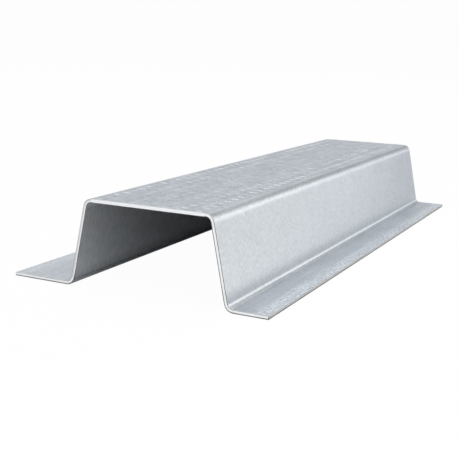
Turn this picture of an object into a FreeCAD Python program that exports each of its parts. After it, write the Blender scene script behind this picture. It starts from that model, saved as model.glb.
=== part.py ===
import FreeCAD, Part
import math
import os

# Hat channel: one strip of galvanised sheet roll-formed into a furring section and cut short.
# Sizes are in millimetres. X runs across the section, Y along the length and Z up.
# The origin lies on the flanges' underside, midway between the flange tips and midway along.

# Section
overall_depth = 22.2  # flanges' underside to the crown's top face
crown_width = 34.6  # between the crown's sharp outer corners, before they are bent round
foot_width = 43.8  # between the webs' outer faces, carried down to the flanges' underside
wide_flange = 17.0  # left flange, from the web's foot to the slit edge
narrow_flange = 9.8  # right flange, from the web's foot to the slit edge
sheet = 0.88  # galvanised sheet
bend_radius = 1.5  # inside of each of the four bends
slit_edge_radius = 0.15  # worn corner left where the strip was slit from the coil

# Length of the sample
channel_length = 160.0

# Places that follow from the sizes
right_tip = (wide_flange + foot_width + narrow_flange) / 2
left_tip = -right_tip
crown_middle = left_tip + wide_flange + foot_width / 2
web_run = (foot_width - crown_width) / 2
web_lean = math.atan2(web_run, overall_depth)  # from upright
level_web = sheet / math.cos(web_lean)  # the web's thickness measured level
outer_bend = bend_radius + sheet


def web_corner(side, height, depth_in_sheet, radius):
    # Sharp corner where a level face meets a web, on the outer (0) or inner (level_web) face
    reach = foot_width / 2 - height * math.tan(web_lean) - depth_in_sheet
    return (crown_middle + side * reach, height, radius)


def section_corners():
    # Once round the section: over the top from left to right, then back along the underside
    left, right = -1, 1
    top = overall_depth
    under_crown = overall_depth - sheet
    return [
        (left_tip, sheet, slit_edge_radius),
        web_corner(left, sheet, 0, bend_radius),
        web_corner(left, top, 0, outer_bend),
        web_corner(right, top, 0, outer_bend),
        web_corner(right, sheet, 0, bend_radius),
        (right_tip, sheet, slit_edge_radius),
        (right_tip, 0, slit_edge_radius),
        web_corner(right, 0, level_web, outer_bend),
        web_corner(right, under_crown, level_web, bend_radius),
        web_corner(left, under_crown, level_web, bend_radius),
        web_corner(left, 0, level_web, outer_bend),
        (left_tip, 0, slit_edge_radius),
    ]


def bend_at(before, corner, after, radius):
    # Start, middle and end of the arc of this radius that touches both sides of a corner
    to_before = (before - corner).normalize()
    to_after = (after - corner).normalize()
    half_angle = to_before.getAngle(to_after) / 2
    setback = radius / math.tan(half_angle)
    bisector = (to_before + to_after).normalize()
    crest = radius / math.sin(half_angle) - radius
    return corner + to_before * setback, corner + bisector * crest, corner + to_after * setback


def rounded_wire(corners, y):
    # Closed wire in the plane at y, with a straight run between each two tangent arcs
    points = [FreeCAD.Vector(x, y, z) for x, z, radius in corners]
    radii = [radius for x, z, radius in corners]
    before = points[-1:] + points[:-1]
    after = points[1:] + points[:1]
    arcs = [bend_at(*corner) for corner in zip(before, points, after, radii)]
    edges = []
    for arc, next_arc in zip(arcs, arcs[1:] + arcs[:1]):
        edges.append(Part.Arc(*arc).toShape())
        edges.append(Part.LineSegment(arc[2], next_arc[0]).toShape())
    return Part.Wire(edges)


def hat_channel():
    # The section at the near cut end, drawn out along the channel
    section = Part.Face(rounded_wire(section_corners(), -channel_length / 2))
    return section.extrude(FreeCAD.Vector(0, channel_length, 0))


os.makedirs("parts", exist_ok=True)
channel = hat_channel()
channel.exportStep("parts/hat_channel.step")
print("hat_channel", "valid", channel.isValid(), "volume", round(channel.Volume, 1), "mm3")
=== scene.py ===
import math

import bmesh
import bpy
from mathutils import Matrix, Vector


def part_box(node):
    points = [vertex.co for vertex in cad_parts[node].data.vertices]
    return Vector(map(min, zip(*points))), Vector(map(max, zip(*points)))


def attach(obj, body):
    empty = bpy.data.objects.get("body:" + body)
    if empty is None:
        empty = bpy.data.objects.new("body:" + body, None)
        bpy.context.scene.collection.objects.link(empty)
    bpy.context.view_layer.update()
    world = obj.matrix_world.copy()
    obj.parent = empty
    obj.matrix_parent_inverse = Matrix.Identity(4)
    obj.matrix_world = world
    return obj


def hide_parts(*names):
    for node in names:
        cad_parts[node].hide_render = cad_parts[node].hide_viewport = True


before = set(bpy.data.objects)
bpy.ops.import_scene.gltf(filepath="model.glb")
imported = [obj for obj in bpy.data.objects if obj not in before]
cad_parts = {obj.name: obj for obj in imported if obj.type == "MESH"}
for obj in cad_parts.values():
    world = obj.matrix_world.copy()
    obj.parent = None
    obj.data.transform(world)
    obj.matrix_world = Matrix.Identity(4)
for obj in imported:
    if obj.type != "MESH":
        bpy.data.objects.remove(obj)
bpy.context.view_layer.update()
channelLow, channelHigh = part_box("hat_channel")
print("frame loaded")


# Nodes as expressions

class Wire:
    # The output of a node. Arithmetic on it adds Math nodes to the same graph.
    def __init__(self, graph, socket):
        self.graph = graph
        self.socket = socket

    def other(self, name):
        # Another output of the same node
        return Wire(self.graph, self.socket.node.outputs[name])

    def math(self, operation, *others):
        return self.graph.calculate(operation, self, *others)

    def __add__(self, other):
        return self.math("ADD", other)

    def __radd__(self, other):
        return self.math("ADD", other)

    def __sub__(self, other):
        return self.math("SUBTRACT", other)

    def __rsub__(self, other):
        return self.graph.calculate("SUBTRACT", other, self)

    def __mul__(self, other):
        return self.math("MULTIPLY", other)

    def __rmul__(self, other):
        return self.math("MULTIPLY", other)

    def __truediv__(self, other):
        return self.math("DIVIDE", other)

    def __rtruediv__(self, other):
        return self.graph.calculate("DIVIDE", other, self)

    def __abs__(self):
        return self.math("ABSOLUTE")

    def ramp(self, low, high, toLow=0.0, toHigh=1.0):
        # Eases from toLow to toHigh while the value goes from low to high
        settings = {"interpolation_type": "SMOOTHSTEP"}
        values = {"Value": self, "From Min": low, "From Max": high, "To Min": toLow, "To Max": toHigh}
        return self.graph.add("ShaderNodeMapRange", settings, values)

    def fall(self, low, high):
        # 1 below low, easing to 0 at high
        return self.ramp(low, high, 1.0, 0.0)

    def between(self, low, high, edge):
        # 1 between low and high, easing to 0 over edge at both ends
        return self.ramp(low - edge, low + edge) * self.fall(high - edge, high + edge)


class Graph:
    # A node tree that is filled by calls
    def __init__(self, tree):
        self.nodes = tree.nodes
        self.links = tree.links

    def put(self, socket, value):
        if isinstance(value, Wire):
            self.links.new(value.socket, socket)
        else:
            socket.default_value = value

    def add(self, kind, settings=None, values=None, output=0):
        # The settings come first, since they decide which sockets there are
        node = self.nodes.new(kind)
        for name, value in (settings or {}).items():
            setattr(node, name, value)
        for name, value in (values or {}).items():
            for one in value if isinstance(value, list) else [value]:
                self.put(node.inputs[name], one)
        return Wire(self, node.outputs[output]) if node.outputs else None

    def calculate(self, operation, *values):
        return self.add("ShaderNodeMath", {"operation": operation}, dict(enumerate(values)))

    def point(self, x, y, z):
        return self.add("ShaderNodeCombineXYZ", None, {"X": x, "Y": y, "Z": z})

    def split(self, vector):
        x = self.add("ShaderNodeSeparateXYZ", None, {"Vector": vector})
        return x, x.other("Y"), x.other("Z")

    def noise(self, vector, scale, detail=2.0, roughness=0.5):
        # Runs from 0 to 1 round a middle of 0.5
        values = {"Vector": vector, "Scale": scale, "Detail": detail, "Roughness": roughness}
        return self.add("ShaderNodeTexNoise", None, values)

    def tinted(self, tone, colour):
        grey = self.point(tone, tone, tone)
        return self.add("ShaderNodeVectorMath", {"operation": "MULTIPLY"}, {0: grey, 1: colour})

    def mixColour(self, factor, first, second):
        # A Mix node set to colours has them in its sockets 6 and 7, and its result in output 2
        colours = {0: factor, 6: (*first, 1.0), 7: (*second, 1.0)}
        return self.add("ShaderNodeMix", {"data_type": "RGBA"}, colours, 2)


def blend(first, second, mask):
    # first where the mask is 0, second where it is 1
    return (second - first) * mask + first


def namedInputs(tree, kinds):
    # One interface socket for each name, and the wires that come from them
    for name, kind in kinds.items():
        tree.interface.new_socket(name, in_out="INPUT", socket_type=kind)
    tree.interface.new_socket("Geometry", in_out="OUTPUT", socket_type="NodeSocketGeometry")
    graph = Graph(tree)
    source = graph.add("NodeGroupInput")
    return graph, {name: source.other(name) for name in kinds}


def setInputs(modifier, values):
    for item in modifier.node_group.interface.items_tree:
        if item.item_type == "SOCKET" and item.in_out == "INPUT" and item.name in values:
            modifier[item.identifier] = values[item.name]


def plainMesh(holder):
    evaluated = holder.evaluated_get(bpy.context.evaluated_depsgraph_get())
    mesh = bpy.data.meshes.new_from_object(evaluated)
    mesh.name = holder.name
    return mesh


# The rolled channel

channel = {
    "crownWidth": 0.0346,  # between the sharp outer corners
    "footWidth": 0.0438,  # between the webs' outer faces at the flanges' underside
    "wideFlange": 0.0170,
    "sheet": 0.00088,
    "bendRadius": 0.0015,  # inside of each bend
    "bendColumns": 10,
    "flatColumns": 3,
    "bendSteps": 24,  # in each bend of the line that the strip is rolled round
    "rim": 0.00010,  # rolled-over edge all round the cut ends and slit edges
    "rimSegments": 2,
    "rimAngle": 50,  # in degrees, the least that counts as an edge
    "weld": 2e-6,  # points nearer than this are joined
}

knurl = {
    "rows": 7,
    "along": 44,
    "width": 0.0023,  # across the channel
    "length": 0.0008,
    "squareness": 6.0,  # 2 is an oval, more is a rounded rectangle
    "depth": 0.00013,
    "rings": ((1.1, 0.0), (0.98, 0.05), (0.78, 0.6), (0.5, 1.0)),  # reach and depth, as shares
    "spread": 0.6,  # how much the depth varies from one to the next
    "middleDepth": 0.4,  # share of the depth left in the middle rows
    "middleEnds": 0.3,  # the depth grows from here to outerStarts, as shares of half the crown
    "outerStarts": 0.8,
    "stagger": 0.25,  # share of the pitch by which a dimple lies off the middle of its cell
    "segments": 4,  # along each side of a cell
    "seed": 7,
}

depth = channelHigh.z
length = channelHigh.y - channelLow.y
overallWidth = channelHigh.x - channelLow.x
narrowFlange = overallWidth - channel["wideFlange"] - channel["footWidth"]
crownMiddle = channelLow.x + channel["wideFlange"] + channel["footWidth"] / 2
lean = math.atan2((channel["footWidth"] - channel["crownWidth"]) / 2, depth)
turn = math.pi / 2 - lean  # of each bend
crownRadius = channel["bendRadius"] + channel["sheet"]
footSetback = channel["bendRadius"] * math.tan(turn / 2)
crownSetback = crownRadius * math.tan(turn / 2)
footSpread = channel["sheet"] * math.tan(lean)

# Widths of the strip's parts on its top face, as it lay flat before rolling
stripParts = {
    "Wide Flange": channel["wideFlange"] + footSpread - footSetback,
    "Foot Bend": channel["bendRadius"] * turn,
    "Web": (depth - channel["sheet"]) / math.cos(lean) - footSetback - crownSetback,
    "Crown Bend": crownRadius * turn,
    "Crown": channel["crownWidth"] - 2 * crownSetback,
    "Narrow Flange": narrowFlange + footSpread - footSetback,
}
stripOrder = ["Wide Flange", "Foot Bend", "Web", "Crown Bend", "Crown",
              "Crown Bend", "Web", "Foot Bend", "Narrow Flange"]


def sectionLine():
    # Top face of the section from left tip to right tip, as sharp corners that know their bend
    footReach = channel["footWidth"] / 2 - footSpread
    crownReach = channel["crownWidth"] / 2
    corners = [
        (channelLow.x, channel["sheet"], 0.0),
        (crownMiddle - footReach, channel["sheet"], channel["bendRadius"]),
        (crownMiddle - crownReach, depth, crownRadius),
        (crownMiddle + crownReach, depth, crownRadius),
        (crownMiddle + footReach, channel["sheet"], channel["bendRadius"]),
        (channelHigh.x, channel["sheet"], 0.0),
    ]
    mesh = bpy.data.meshes.new("sectionLine")
    edges = [(i, i + 1) for i in range(len(corners) - 1)]
    mesh.from_pydata([(x, 0.0, z) for x, z, radius in corners], edges, [])
    bends = mesh.attributes.new("bend", "FLOAT", "POINT")
    for item, (x, z, radius) in zip(bends.data, corners):
        item.value = radius
    return mesh


def squared(share):
    # A sine or cosine bent towards the corners of the dimple's rounded rectangle
    return math.copysign(abs(share) ** (2 / knurl["squareness"]), share)


def knurlTile(rowWidth, pitch):
    # One cell of the knurled crown: a pressed dimple off the middle of a flat tile
    half = knurl["segments"] // 2
    steps = [i / knurl["segments"] for i in range(-half, half)]
    border = [(s, -0.5) for s in steps] + [(0.5, s) for s in steps]
    border += [(-s, 0.5) for s in steps] + [(-0.5, -s) for s in steps]
    count = len(border)
    centre = Vector((0, -pitch * knurl["stagger"], 0))
    firstCorner = -math.pi * 3 / 4
    shape = bmesh.new()
    outer = [shape.verts.new((x * rowWidth, y * pitch, 0)) for x, y in border]
    for share, drop in knurl["rings"]:
        ring = []
        for i in range(count):
            angle = firstCorner + math.tau * i / count
            x = squared(math.cos(angle)) * knurl["width"] / 2
            y = squared(math.sin(angle)) * knurl["length"] / 2
            place = Vector((x * share, y * share, -drop * knurl["depth"]))
            ring.append(shape.verts.new(centre + place))
        for i in range(count):
            j = (i + 1) % count
            shape.faces.new((outer[i], outer[j], ring[j], ring[i]))
        outer = ring
    bottom = shape.verts.new(centre + Vector((0, 0, -knurl["depth"])))
    for i in range(count):
        shape.faces.new((outer[i], outer[(i + 1) % count], bottom))
    mesh = bpy.data.meshes.new("knurlTile")
    shape.to_mesh(mesh)
    shape.free()
    return mesh


def knurledCrown(graph, given):
    # The crown's cells, every second row turned about so that the dimples stagger
    rows = given["Knurl Rows"]
    along = given["Knurls Along"]
    rowWidth = given["Crown"] / rows
    pitch = given["Length"] / along
    centres = graph.add("GeometryNodeMeshGrid", None, {
        "Size X": given["Crown"] - rowWidth, "Size Y": given["Length"] - pitch,
        "Vertices X": rows, "Vertices Y": along})
    across = graph.split(graph.add("GeometryNodeInputPosition"))[0]
    row = (across / rowWidth + (rows - 1) * 0.5).math("ROUND")
    halfTurns = graph.point(0.0, 0.0, row.math("MODULO", 2) * math.pi)
    outwards = abs(across) / (given["Crown"] * 0.5)
    rowDepth = outwards.ramp(knurl["middleEnds"], knurl["outerStarts"], given["Middle Depth"], 1.0)
    vary = graph.add("FunctionNodeRandomValue", {"data_type": "FLOAT"}, {"Seed": given["Seed"]}, 1)
    vary = 1 - vary * given["Depth Spread"]
    tile = graph.add("GeometryNodeObjectInfo", None, {"Object": given["Knurl Tile"]}, "Geometry")
    cells = graph.add("GeometryNodeInstanceOnPoints", None, {
        "Points": centres, "Instance": tile, "Rotation": halfTurns,
        "Scale": graph.point(1.0, 1.0, rowDepth * vary)})
    return graph.add("GeometryNodeRealizeInstances", None, {"Geometry": cells})


def channelTree():
    # Lays the strip out flat, knurls the crown, gives it its thickness and rolls it round the section
    kinds = {"Section": "NodeSocketGeometry", "Length": "NodeSocketFloat", "Sheet": "NodeSocketFloat"}
    kinds.update({name: "NodeSocketFloat" for name in stripParts})
    kinds.update({
        "Bend Columns": "NodeSocketInt", "Flat Columns": "NodeSocketInt",
        "Knurl Tile": "NodeSocketObject", "Knurl Rows": "NodeSocketInt", "Knurls Along": "NodeSocketInt",
        "Depth Spread": "NodeSocketFloat", "Middle Depth": "NodeSocketFloat", "Seed": "NodeSocketInt",
        "Sheet Material": "NodeSocketMaterial", "Cut Material": "NodeSocketMaterial",
        "Slit Material": "NodeSocketMaterial",
    })
    tree = bpy.data.node_groups.new("rolledChannel", "GeometryNodeTree")
    graph, given = namedInputs(tree, kinds)
    stations = given["Knurls Along"] * knurl["segments"] + 1

    panels = []
    start = 0.0
    for name in stripOrder:
        width = given[name]
        if name == "Crown":
            cells = knurledCrown(graph, given)
        else:
            columns = given["Bend Columns" if "Bend" in name else "Flat Columns"]
            cells = graph.add("GeometryNodeMeshGrid", None, {
                "Size X": width, "Size Y": given["Length"],
                "Vertices X": columns + 1, "Vertices Y": stations})
        place = graph.point(width * 0.5 + start, 0.0, 0.0)
        panels.append(graph.add("GeometryNodeTransform", None, {"Geometry": cells, "Translation": place}))
        start = width + start
    strip = graph.add("GeometryNodeJoinGeometry", None, {"Geometry": panels[::-1]})
    strip = graph.add("GeometryNodeMergeByDistance", None, {"Geometry": strip, "Distance": channel["weld"]})
    position = graph.add("GeometryNodeInputPosition")

    # The underside is the same face moved down and turned over, with the walls that come with it
    under = graph.add("GeometryNodeExtrudeMesh", {"mode": "FACES"}, {
        "Mesh": strip, "Offset": graph.point(0.0, 0.0, -1.0), "Offset Scale": given["Sheet"],
        "Individual": False})
    wall = under.other("Side")
    under = graph.add("GeometryNodeFlipFaces", None, {"Mesh": under})
    solid = graph.add("GeometryNodeJoinGeometry", None, {"Geometry": [under, strip]})
    solid = graph.add("GeometryNodeMergeByDistance", None, {"Geometry": solid, "Distance": channel["weld"]})
    settings = {"data_type": "FLOAT_VECTOR", "domain": "POINT"}
    solid = graph.add("GeometryNodeStoreNamedAttribute", settings, {
        "Geometry": solid, "Name": "flatPlace", "Value": position})

    # Rolling: a point keeps its place along the channel, and its place across follows the section
    line = graph.add("GeometryNodeMeshToCurve", None, {"Mesh": given["Section"]})
    bend = graph.add("GeometryNodeInputNamedAttribute", {"data_type": "FLOAT"}, {"Name": "bend"})
    line = graph.add("GeometryNodeFilletCurve", {"mode": "POLY"}, {
        "Curve": line, "Count": channel["bendSteps"], "Radius": bend})
    across, along, height = graph.split(position)
    onLine = graph.add("GeometryNodeSampleCurve", {"mode": "LENGTH"}, {
        "Curves": line, "Length": across}, "Position")
    lineX, _, lineZ = graph.split(onLine)
    tangentX, _, tangentZ = graph.split(onLine.other("Tangent"))
    rolled = graph.point(lineX - tangentZ * height, along, lineZ + tangentX * height)
    solid = graph.add("GeometryNodeSetPosition", None, {"Geometry": solid, "Position": rolled})

    # Sheet all over, then the cut ends, which face along the channel, then the other walls
    normal = graph.split(graph.add("GeometryNodeInputNormal"))
    cut = abs(normal[1]).math("GREATER_THAN", 0.5)
    slit = wall * (1 - cut)
    solid = graph.add("GeometryNodeRealizeInstances", None, {"Geometry": solid})
    for part, selection in (("Sheet", True), ("Cut", cut), ("Slit", slit)):
        solid = graph.add("GeometryNodeSetMaterial", None, {
            "Geometry": solid, "Selection": selection, "Material": given[part + " Material"]})
    graph.add("NodeGroupOutput", None, {"Geometry": solid})
    return tree


def rolledChannel(sheetMaterial, cutMaterial, slitMaterial, rimMaterial):
    rowWidth = stripParts["Crown"] / knurl["rows"]
    pitch = length / knurl["along"]
    tile = bpy.data.objects.new("knurlTile", knurlTile(rowWidth, pitch))
    rough = bpy.data.objects.new("channelSection", sectionLine())
    for helper in (tile, rough):
        bpy.context.scene.collection.objects.link(helper)
    modifier = rough.modifiers.new("rolledChannel", "NODES")
    modifier.node_group = channelTree()
    values = {"Length": length, "Sheet": channel["sheet"]}
    values.update(stripParts)
    values.update({
        "Bend Columns": channel["bendColumns"], "Flat Columns": channel["flatColumns"],
        "Knurl Tile": tile, "Knurl Rows": knurl["rows"], "Knurls Along": knurl["along"],
        "Depth Spread": knurl["spread"], "Middle Depth": knurl["middleDepth"], "Seed": knurl["seed"],
        "Sheet Material": sheetMaterial, "Cut Material": cutMaterial, "Slit Material": slitMaterial,
    })
    setInputs(modifier, values)
    mesh = plainMesh(rough)
    for helper in (tile, rough):
        bpy.data.objects.remove(helper)
    mesh.materials.append(rimMaterial)

    piece = bpy.data.objects.new("rolledChannel", mesh)
    bpy.context.scene.collection.objects.link(piece)
    bevel = piece.modifiers.new("rim", "BEVEL")
    bevel.width = channel["rim"]
    bevel.segments = channel["rimSegments"]
    bevel.limit_method = "ANGLE"
    bevel.angle_limit = math.radians(channel["rimAngle"])
    bevel.use_clamp_overlap = False
    bevel.material = len(mesh.materials) - 1
    weigh = piece.modifiers.new("flatFaces", "WEIGHTED_NORMAL")
    weigh.mode = "FACE_AREA"
    weigh.weight = 100
    weigh.keep_sharp = True
    finished = plainMesh(piece)
    piece.modifiers.clear()
    piece.data = finished
    return piece


# Materials

galvanised = {
    "colour": (0.665, 0.69, 0.713),
    "roughness": 0.34,
    "metallic": 0.6,
    "shine": 0.2,
    "grazing": (0.63, 0.72, 0.82, 1.0),  # tint of the shine at the flattest angles
    "spangle": 0.0016,  # size of the zinc crystals
    "cloud": 0.011,
    "ragged": 0.0025,  # size of the unevenness in the edges of bands
    "fineShare": 0.6,  # share of the fine streaks beside those of the rolls
    "softEdge": 0.5,  # millimetres over which one part's zinc passes into the next one's
    "outerDepth": 0.4,  # millimetres into the sheet, where the outer face's zinc starts to end
    "innerDepth": 0.7,
    "bumpStrength": 0.25,
    "bumpHeight": 0.00003,
}

# What each pattern adds to the roughness, and its share of the relief
roughening = {"cloud": 0.06, "spangle": 0.02, "streaks": 0.08, "edgeBand": 0.03}
relief = {"cloud": 0.5, "spangle": 0.12, "streaks": 0.7}

# Streaks in the zinc, by their size in millimetres. Each takes its own slice of the noise.
streaks = {
    "roll": {"across": 1.5, "along": 24.0, "slice": 0.0, "detail": 3.0, "roughness": 0.65},
    "fine": {"across": 0.5, "along": 1.4, "slice": 5.0, "detail": 3.0, "roughness": 0.6},
    "web": {"across": 1.0, "along": 0.15, "slice": 9.0, "detail": 2.0, "roughness": 0.6},
    "insideWeb": {"across": 2.5, "along": 0.45, "slice": 13.0, "detail": 3.0, "roughness": 0.6},
}

# How far the patterns change the tone, which is 1 on plain zinc
contrast = {
    "cloud": 0.16,
    "cloudOnWebs": 0.08,
    "spangle": 0.06,
    "spangleOnCrown": 0.19,
    "streaks": 0.9,
    "streaksOnCrown": 1.5,
    "streaksOnWebs": 1.1,
    "streaksInside": 0.65,
}

# Paler, mottled zinc along both slit edges, and painted light all over the wide flange
edgeBand = {
    "width": 3.8,  # in millimetres
    "raggedness": 1.4,  # as a share of the width
    "fadeFrom": 0.75,
    "fadeTo": 1.15,
    "tone": 0.162,
    "mottle": 0.0008,  # size of the spots
    "mottling": 2.4,
    "fainterOnWide": 0.6,  # share that the wide flange lacks
    "wideFlangeLight": 0.15,  # painted light all over that flange, which the web shades
}

# Painted highlights and painted shade along the bends. Starts and ends are in millimetres outwards from
# where the bend starts, but the crown's highlight ends that far into the web.
paintedLightBands = {
    "dullCrown": {"start": 0.9, "end": 1.9, "softness": 0.35, "tone": -0.2},
    "brightCrown": {"start": 2.35, "end": 0.15, "softness": 0.2, "tone": 0.23},
    "brightFoot": {"start": 0.42, "end": 0.85, "softness": 0.18, "tone": 0.32},
    "dullFoot": {"start": 1.0, "end": 2.2, "softness": 0.25, "tone": -0.11},
    "underFoot": {"start": 0.1, "end": 2.8, "softness": 0.5, "tone": -0.45},
}
# How the painted bands waver, and how strong the painted highlights are at each end
paintedBandShape = {
    "shadeWander": 0.48,  # how far the crown's painted shade and highlight waver, in millimetres
    "highlightWander": 1.2,
    "highlightGrain": 2.4,
    "nearEnd": 1.1,  # strength of the painted highlights at each end of the channel
    "farEnd": 0.6,
}

# Painted light and painted shade on the webs and the underside. Heights are in millimetres up from the
# web's foot.
paintedWebTones = {
    # painted light on the webs, painted shade at their feet, towards the far end and on the underside, and
    # painted light low on the webs towards the near end
    "webLight": 0.05,
    "foot": -0.2,
    "footHeight": 3.2,
    "footEnds": (0.1, -0.4),
    "farShade": -0.2,
    "farLength": 90.0,  # from the middle of the channel towards its far end
    "low": 0.07,
    "lowHeight": 4.0,
    "lowDepth": 3.0,  # from the top of the web
    "lowEnds": 40.0,  # past the middle of the channel
    "plainFrom": 2.8,
    "plainTo": 0.8,
    "underside": -0.24,
}

# Bare metal where the sheet was cut: bright ends and duller slit edges. A painted shade, a dark line along
# the underside of the flanges and the right web, is so many millimetres wide. The half that the
# blade broke is darker: the lower one on the flanges and the outer one on the left web.
cutFace = {
    "colour": (0.97, 0.98, 1.0),
    "roughness": 0.5,
    "metallic": 0.1,
    "patchiness": 0.1,
    "shadeLine": 0.2,
    "brokenShade": 0.28,
}
slitFace = {
    "colour": (0.52, 0.525, 0.53),
    "roughness": 0.45,
    "metallic": 0.6,
    "patchiness": 0.4,
    "shadeLine": 0.38,
    "brokenShade": 0.0,
}
bladeMarksAndShade = {
    "drag": 5000.0,  # marks and patches in a metre
    "patch": 420.0,
    "dragContrast": 0.14,
    "roughening": 0.2,
    "halfDepth": (0.4, 0.6),  # millimetres into the sheet, where one half passes into the other
    "shadeLineHeight": 0.12,
    "shadeLineWaver": 0.1,
    "shadeLineDarkness": 0.95,
    "shadeLineReach": 0.5,  # millimetres that the painted shade line goes on up the left web
    "shadeLineSoftness": 1.0,
}
# The rim's colour is painted shade: dark where it faces sideways or down
rim = {
    "colour": (0.08, 0.075, 0.07),
    "topColour": (0.7, 0.72, 0.74),
    "roughness": 0.6,
    "shine": 0.2,
    "patchiness": 0.5,
    "paleFrom": 0.2,  # painted light: the rim is pale where it faces up, 0 being sideways and 1 straight up
    "paleTo": 0.7,
    "crownSoftness": 1.0,  # millimetres over which the crown's rim, which is pale, passes into the rest
}

# Where each part of the strip starts, in millimetres across, and where the last one ends
edges = [sum(stripParts[name] for name in stripOrder[:i]) * 1000 for i in range(len(stripOrder) + 1)]
wideEnd, leftFoot, _, crownLeft, crownRight, rightTop, rightFoot, narrowStart, slitEdge = edges[1:]
halfLength = length / 2 * 1000


def flatPlace(graph):
    # The place on the strip before it was rolled: as a vector, then its parts in millimetres
    strip = graph.add("ShaderNodeAttribute", {"attribute_name": "flatPlace"}, None, "Vector")
    across, along, inSheet = graph.split(strip)
    return strip, across * 1000, along * 1000, inSheet * 1000


def streak(graph, across, along, name):
    kind = streaks[name]
    place = graph.point(across / kind["across"], along / kind["along"], kind["slice"])
    return graph.noise(place, 1.0, kind["detail"], kind["roughness"])


# A band of painted highlight or painted shade, as a change of tone
def paintedBandTone(outwards, name, startLine, endLine):
    band = paintedLightBands[name]
    inBand = outwards.between(startLine + band["start"], endLine + band["end"], band["softness"])
    return inBand * band["tone"]


def newMaterial(name):
    material = bpy.data.materials.new(name)
    material.use_nodes = True
    material.node_tree.nodes.clear()
    return material, Graph(material.node_tree)


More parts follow.
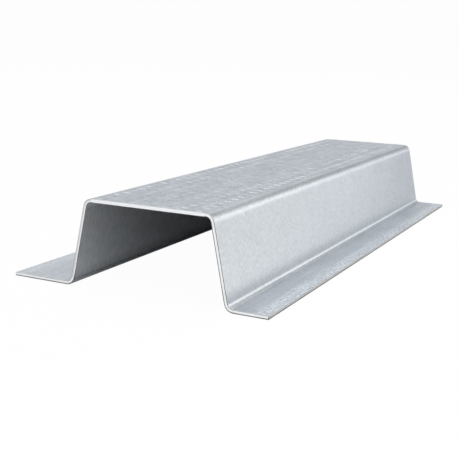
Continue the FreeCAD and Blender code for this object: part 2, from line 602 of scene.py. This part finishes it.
def galvanisedSheet():
    # Zinc cloud and spangle, roll marks along the flats and up-and-down grain on the webs, with painted
    # highlights and painted shade on the bends and webs
    material, graph = newMaterial("galvanisedSheet")
    strip, across, along, inSheet = flatPlace(graph)
    middle = (crownLeft + crownRight) / 2
    outwards = abs(across - middle)
    bendStart, webStart, webEnd = (edge - middle for edge in (crownRight, rightTop, rightFoot))
    softEdge = galvanised["softEdge"]
    crown = outwards.fall(bendStart - softEdge, bendStart + softEdge)
    web = outwards.between(webStart, webEnd, softEdge)
    underside = inSheet.fall(-galvanised["innerDepth"], -galvanised["outerDepth"])
    wideSide = across.fall(wideEnd, leftFoot)

    cloud = graph.noise(strip, 1 / galvanised["cloud"], detail=4.0, roughness=0.6)
    settings = {"feature": "F1", "voronoi_dimensions": "2D"}
    values = {"Vector": strip, "Scale": 1 / galvanised["spangle"]}
    crystal = graph.add("ShaderNodeTexVoronoi", settings, values, "Color")
    spangle = graph.add("ShaderNodeSeparateColor", None, {"Color": crystal})
    grain = streak(graph, across, along, "web")
    webGrain = blend(grain, streak(graph, across, along, "insideWeb"), underside)
    rollMarks = streak(graph, across, along, "roll")
    marks = blend(rollMarks, streak(graph, across, along, "fine"), galvanised["fineShare"])
    texture = blend(marks, webGrain, web)

    ragged = graph.noise(strip, 1 / galvanised["ragged"], detail=4.0, roughness=0.7)
    mottle = graph.noise(strip, 1 / edgeBand["mottle"], detail=3.0, roughness=0.7)
    inFrom = across.math("MINIMUM", slitEdge - across) / edgeBand["width"]
    band = (inFrom + (ragged - 0.5) * edgeBand["raggedness"]).fall(edgeBand["fadeFrom"], edgeBand["fadeTo"])
    bandTone = band * ((mottle - 0.5) * edgeBand["mottling"] + edgeBand["tone"])
    # painted light on the wide flange
    bandTone = bandTone * (1 - wideSide * edgeBand["fainterOnWide"]) + wideSide * edgeBand["wideFlangeLight"]

    # Painted shade then a painted highlight across the crown's bends, a painted highlight line then painted
    # shade in the foot's bends, and painted shade under them
    dull = outwards + (ragged - 0.5) * paintedBandShape["shadeWander"]
    bright = outwards + (ragged - 0.5) * paintedBandShape["highlightWander"] + (grain - 0.5) * paintedBandShape["highlightGrain"]
    shine = paintedBandTone(bright, "brightCrown", bendStart, webStart)
    shine = shine + paintedBandTone(outwards, "brightFoot", webEnd, webEnd)
    # The painted highlights are stronger at the near end than at the far end
    rolled = shine * along.ramp(-halfLength, halfLength, paintedBandShape["nearEnd"], paintedBandShape["farEnd"])
    rolled = rolled + paintedBandTone(dull, "dullCrown", bendStart, bendStart)
    rolled = rolled + paintedBandTone(outwards, "dullFoot", webEnd, webEnd)
    rolled = rolled + paintedBandTone(outwards, "underFoot", webEnd, webEnd) * underside

    # Painted shade down to the webs' feet, towards the far end and on the underside, and painted light on
    # the webs and low on them towards the near end
    footStart, footEnd = (webEnd - height for height in paintedWebTones["footEnds"])
    foot = outwards.ramp(webEnd - paintedWebTones["footHeight"], webEnd) * outwards.fall(footStart, footEnd)
    plain = outwards.fall(webEnd - paintedWebTones["plainFrom"], webEnd - paintedWebTones["plainTo"])
    outerWeb = web * (1 - underside) * plain
    farShade = outerWeb * along.ramp(0.0, paintedWebTones["farLength"])
    low = outwards.ramp(webStart + paintedWebTones["lowDepth"], webEnd - paintedWebTones["lowHeight"])
    low = outerWeb * low * along.fall(-halfLength, paintedWebTones["lowEnds"])
    webLightAndShade = web * paintedWebTones["webLight"] + foot * paintedWebTones["foot"] + underside * paintedWebTones["underside"]
    webLightAndShade = webLightAndShade + farShade * paintedWebTones["farShade"] + low * paintedWebTones["low"]

    cloudContrast = blend(contrast["cloud"], contrast["cloudOnWebs"], web)
    spangleContrast = blend(contrast["spangle"], contrast["spangleOnCrown"], crown)
    streakContrast = blend(contrast["streaks"], contrast["streaksOnCrown"], crown)
    webContrast = blend(contrast["streaksOnWebs"], contrast["streaksInside"], underside)
    streakContrast = blend(streakContrast, webContrast, web)
    tone = 1 + (cloud - 0.5) * cloudContrast + (spangle - 0.5) * spangleContrast
    tone = tone + (texture - 0.5) * streakContrast + bandTone + rolled + webLightAndShade
    rough = (cloud - 0.5) * roughening["cloud"] + (spangle.other("Green") - 0.5) * roughening["spangle"]
    rough = rough + (texture - 0.5) * roughening["streaks"] + band * roughening["edgeBand"]
    rough = rough + galvanised["roughness"]
    height = texture * relief["streaks"] + cloud * relief["cloud"]
    height = height + spangle.other("Blue") * relief["spangle"]
    bump = graph.add("ShaderNodeBump", None, {
        "Strength": galvanised["bumpStrength"], "Distance": galvanised["bumpHeight"], "Height": height})
    surface = graph.add("ShaderNodeBsdfPrincipled", None, {
        "Base Color": graph.tinted(tone, galvanised["colour"]), "Roughness": rough, "Normal": bump,
        "Metallic": galvanised["metallic"], "Specular IOR Level": galvanised["shine"],
        "Specular Tint": galvanised["grazing"]})
    graph.add("ShaderNodeOutputMaterial", None, {"Surface": surface})
    return material


def bareSteel(name, steel):
    # Drag marks of the blade over cloudier patches, a darker half where the metal broke, and painted shade
    # along the underside edge
    material, graph = newMaterial(name)
    place = graph.add("ShaderNodeTexCoord", None, None, "Object")
    drag = graph.noise(place, bladeMarksAndShade["drag"])
    patch = graph.noise(place, bladeMarksAndShade["patch"], detail=3.0, roughness=0.6)
    shade = 1 + (drag - 0.5) * bladeMarksAndShade["dragContrast"] + (patch - 0.5) * steel["patchiness"]

    _, across, _, inSheet = flatPlace(graph)
    flanges = across.fall(wideEnd, leftFoot) + across.ramp(rightFoot, narrowStart)
    leftWeb = across.between(leftFoot, crownLeft, galvanised["softEdge"])
    outer, inner = bladeMarksAndShade["halfDepth"]
    outerHalf = inSheet.ramp(-inner, -outer)
    broken = flanges * (1 - outerHalf) + leftWeb * outerHalf
    shade = shade * (1 - broken * steel["brokenShade"])

    # A dark line of painted shade along the underside edge
    height = inSheet + channel["sheet"] * 1000 + (patch - 0.5) * bladeMarksAndShade["shadeLineWaver"]
    shadeLine = height.fall(bladeMarksAndShade["shadeLineHeight"], bladeMarksAndShade["shadeLineHeight"] + steel["shadeLine"])
    noShadeLine = across.between(leftFoot + bladeMarksAndShade["shadeLineReach"], crownRight, bladeMarksAndShade["shadeLineSoftness"])
    shadeLine = shadeLine * (1 - noShadeLine)
    shade = shade * (1 - shadeLine * bladeMarksAndShade["shadeLineDarkness"])
    surface = graph.add("ShaderNodeBsdfPrincipled", None, {
        "Base Color": graph.tinted(shade, steel["colour"]), "Metallic": steel["metallic"],
        "Roughness": (patch - 0.5) * bladeMarksAndShade["roughening"] + steel["roughness"]})
    graph.add("ShaderNodeOutputMaterial", None, {"Surface": surface})
    return material


def rolledEdge():
    # Painted shade: dark where the rim turns down or sideways, and as pale as the sheet where it turns up
    material, graph = newMaterial("rolledEdge")
    place = graph.add("ShaderNodeTexCoord", None, None, "Object")
    upwards = graph.split(place.other("Normal"))[2]
    patch = graph.noise(place, bladeMarksAndShade["patch"], detail=3.0, roughness=0.6)
    turnedUp = (upwards + (patch - 0.5) * rim["patchiness"]).ramp(rim["paleFrom"], rim["paleTo"])
    across = flatPlace(graph)[1]
    onCrown = across.between(crownLeft, crownRight, rim["crownSoftness"])
    pale = turnedUp.math("MAXIMUM", onCrown)
    surface = graph.add("ShaderNodeBsdfPrincipled", None, {
        "Base Color": graph.mixColour(pale, rim["colour"], rim["topColour"]),
        "Roughness": rim["roughness"], "Specular IOR Level": rim["shine"]})
    graph.add("ShaderNodeOutputMaterial", None, {"Surface": surface})
    return material


piece = rolledChannel(
    galvanisedSheet(), bareSteel("cutSteel", cutFace), bareSteel("slitSteel", slitFace), rolledEdge())
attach(piece, "root")
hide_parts("hat_channel")
print("channel rolled", len(piece.data.polygons), "faces")


# Floor, lights and camera

studio = {
    "floorReach": 3.0,
    "floorRings": (0.15, 0.5, 1.2),
    "floorSides": 72,
    "rimHeight": 0.85,  # the floor sweeps up into a low white backdrop all round
    "rimCurve": 0.5,
    "rimSteps": 8,
    "floorDrop": 0.00005,
    "floorColour": (0.9, 0.9, 0.9, 1.0),
    "floorGlow": 0.97,  # share of plain white that the camera and reflections see in the floor
    "reflectedGlow": 0.4,  # share of it that reflections see, over the lamps' light on the floor
    "roomLight": 0.5,
}

# The floor in the channel's hollow, which shows no glow in reflections, reaches this far past it
hollowFloor = {"side": 0.003, "sideSoftness": 0.0005, "front": 0.004, "back": 0.08, "endSoftness": 0.004}

# Directions as seen from the channel: 0 is the front, 90 the right and 180 the back
lamps = {
    "backStrip": {"azimuth": 152, "elevation": 12, "distance": 1.0, "size": 0.34, "power": 0.29},
    "nearKey": {"azimuth": 50, "elevation": 26, "distance": 0.33, "size": 0.5, "power": 0.66},
    "overhead": {"azimuth": 202, "elevation": 52, "distance": 1.0, "size": 0.7, "power": 1.2},
    "top": {"azimuth": 90, "elevation": 85, "distance": 1.6, "size": 3.0, "power": 10.0},
    "front": {"azimuth": 18, "elevation": 6, "distance": 1.0, "size": 0.4, "power": 0.2},
}

view = {
    "place": (0.1094, -0.2494, 0.0603),
    "azimuth": 26.48,
    "elevation": 12.23,
    "roll": 1.45,
    "lens": 69.15,
    "sensor": 36.0,
    "nearest": 0.01,
}


def turned(degrees, axis):
    return Matrix.Rotation(math.radians(degrees), 4, axis)


def floorMesh():
    # A round floor whose rim curves up, so that every view ends in white
    profile = [(reach, 0.0) for reach in (*studio["floorRings"], studio["floorReach"])]
    for i in range(1, studio["rimSteps"] + 1):
        angle = math.pi / 2 * i / studio["rimSteps"]
        profile.append((studio["floorReach"] + studio["rimCurve"] * math.sin(angle),
                        studio["rimHeight"] * (1 - math.cos(angle))))
    around = studio["floorSides"]
    shape = bmesh.new()
    middle = shape.verts.new((0, 0, -studio["floorDrop"]))
    inner = None
    for reach, height in profile:
        ring = []
        for i in range(around):
            angle = math.tau * i / around
            spot = (reach * math.cos(angle), reach * math.sin(angle), height - studio["floorDrop"])
            ring.append(shape.verts.new(spot))
        for i in range(around):
            j = (i + 1) % around
            shape.faces.new((inner[i], ring[i], ring[j], inner[j]) if inner else (middle, ring[i], ring[j]))
        inner = ring
    mesh = bpy.data.meshes.new("floor")
    shape.to_mesh(mesh)
    shape.free()
    for face in mesh.polygons:
        face.use_smooth = True
    return mesh


def paleFloor():
    # Matt to the light that falls on it, and nearly plain white to the camera and to reflections
    material, graph = newMaterial("paleFloor")
    place = graph.add("ShaderNodeTexCoord", None, None, "Object")
    across, along, _ = graph.split(place)
    side = channel["footWidth"] / 2 + hollowFloor["side"]
    inHollow = across.between(crownMiddle - side, crownMiddle + side, hollowFloor["sideSoftness"])
    front = channelLow.y - hollowFloor["front"]
    back = channelHigh.y + hollowFloor["back"]
    inHollow = inHollow * along.between(front, back, hollowFloor["endSoftness"])
    direct = graph.add("ShaderNodeLightPath", None, None, "Is Camera Ray")
    mirrored = direct.other("Is Glossy Ray").math("MAXIMUM", direct.other("Is Transmission Ray"))
    seen = direct.math("MAXIMUM", mirrored * (1 - inHollow) * studio["reflectedGlow"])
    matt = graph.add("ShaderNodeBsdfDiffuse", None, {"Color": studio["floorColour"]})
    white = graph.add("ShaderNodeEmission", None, {"Color": (1.0, 1.0, 1.0, 1.0), "Strength": 1.0})
    both = graph.add("ShaderNodeMixShader", None, {0: seen * studio["floorGlow"], 1: matt, 2: white})
    graph.add("ShaderNodeOutputMaterial", None, {"Surface": both})

    floor = bpy.data.objects.new("floor", floorMesh())
    floor.data.materials.append(material)
    bpy.context.scene.collection.objects.link(floor)


def paleWorld():
    world = bpy.data.worlds.new("paleWorld")
    world.use_nodes = True
    world.node_tree.nodes.clear()
    graph = Graph(world.node_tree)
    room = graph.add("ShaderNodeBackground", None, {
        "Color": (1.0, 1.0, 1.0, 1.0), "Strength": studio["roomLight"]})
    graph.add("ShaderNodeOutputWorld", None, {"Surface": room})
    bpy.context.scene.world = world


def softLamp(name, azimuth, elevation, distance, size, power):
    # A square soft light aimed at the channel
    lamp = bpy.data.lights.new(name, "AREA")
    lamp.size = size
    lamp.energy = power
    holder = bpy.data.objects.new(name, lamp)
    holder.visible_camera = False
    aim = turned(azimuth, "Z") @ turned(90 - elevation, "X")
    holder.matrix_world = aim @ Matrix.Translation((0, 0, distance))
    bpy.context.scene.collection.objects.link(holder)


def photoCamera():
    camera = bpy.data.cameras.new("camera")
    camera.sensor_width = view["sensor"]
    camera.lens = view["lens"]
    camera.clip_start = view["nearest"]
    holder = bpy.data.objects.new("camera", camera)
    aim = turned(view["azimuth"], "Z") @ turned(90 - view["elevation"], "X") @ turned(view["roll"], "Z")
    holder.matrix_world = Matrix.Translation(view["place"]) @ aim
    bpy.context.scene.collection.objects.link(holder)
    bpy.context.scene.camera = holder


paleFloor()
paleWorld()
for name, lamp in lamps.items():
    softLamp(name, **lamp)
photoCamera()
bpy.context.scene.view_settings.view_transform = "Standard"
print("studio ready")
